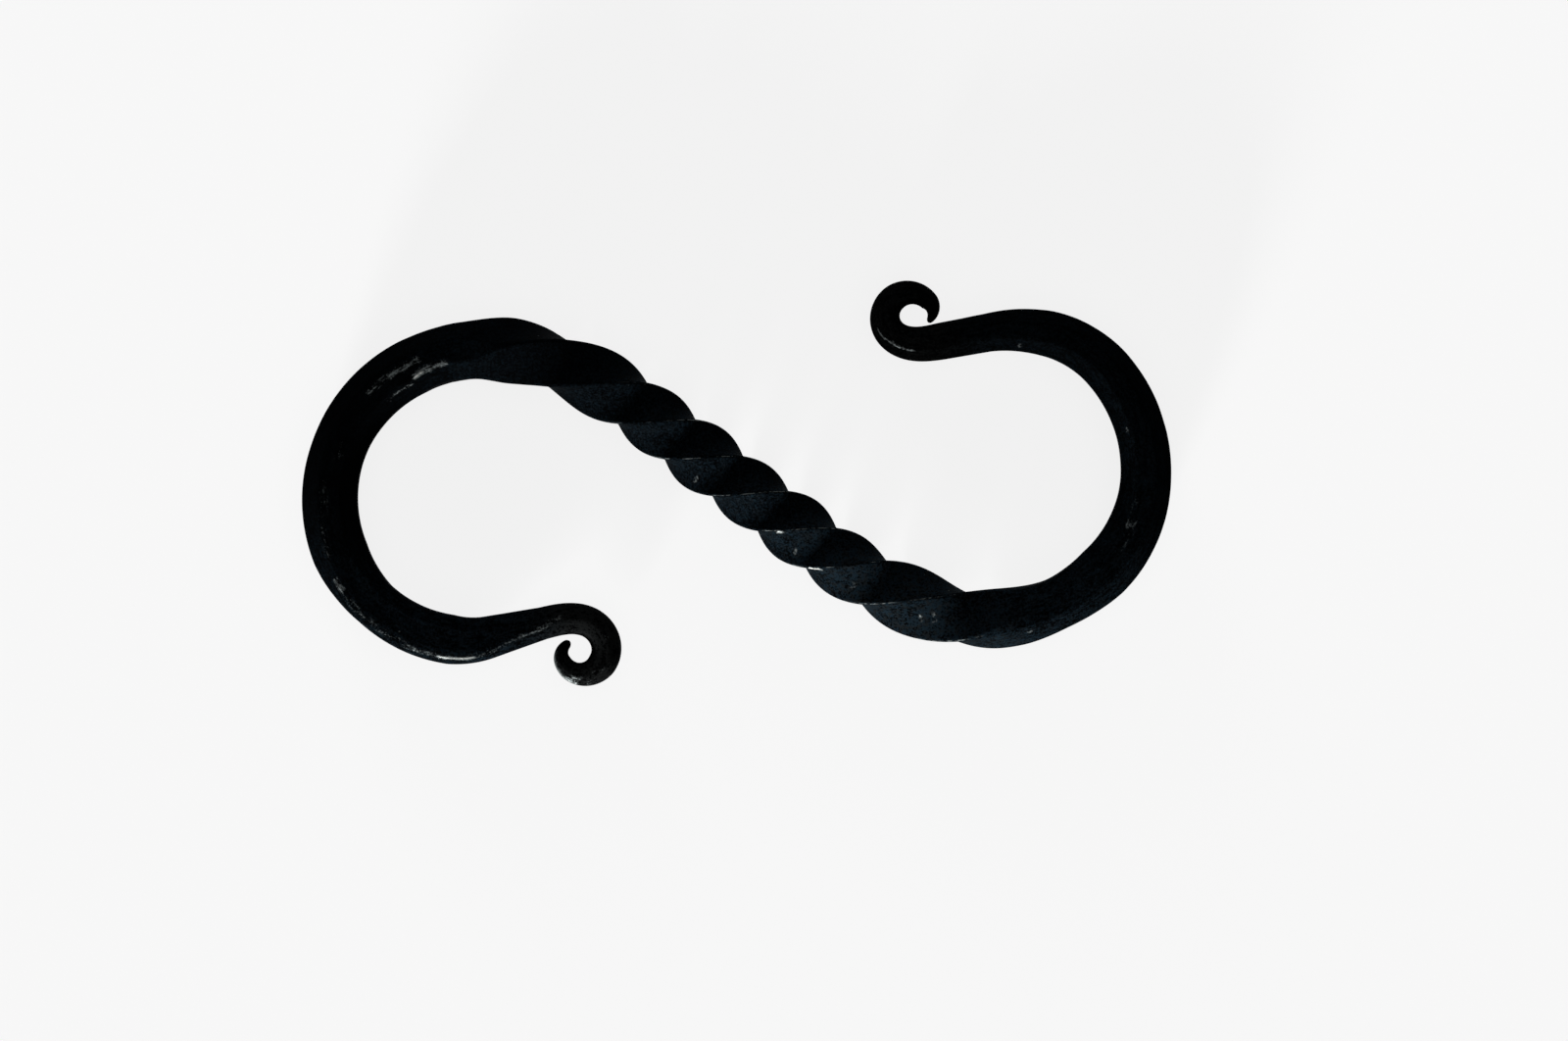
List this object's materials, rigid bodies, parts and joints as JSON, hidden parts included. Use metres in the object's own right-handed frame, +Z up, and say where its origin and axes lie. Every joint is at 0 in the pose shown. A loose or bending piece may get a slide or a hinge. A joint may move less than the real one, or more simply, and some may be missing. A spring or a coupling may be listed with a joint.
{
  "type": "s hook",
  "caption": "Hand-forged black iron S hook: a twisted square shank with an open hook and a small scrolled tip at each end, for hanging things from a rail or ring.",
  "frame": {"origin": "under the middle of the hook's outline as it lies flat, on the surface that it lies on", "axes": "+X from the left hook to the right one, along the longest extent; +Z up, square to the plane in which the hook is bent"},
  "size_m": [0.1378, 0.0644, 0.011],
  "materials": {
    "forged_iron": "forged mild steel, near-black fire scale under a thin dark wax, satin, with rubbed edges and small bright specks"
  },
  "bodies": {
    "root": {"s_hook": "forged_iron"}
  },
  "joints": []
}
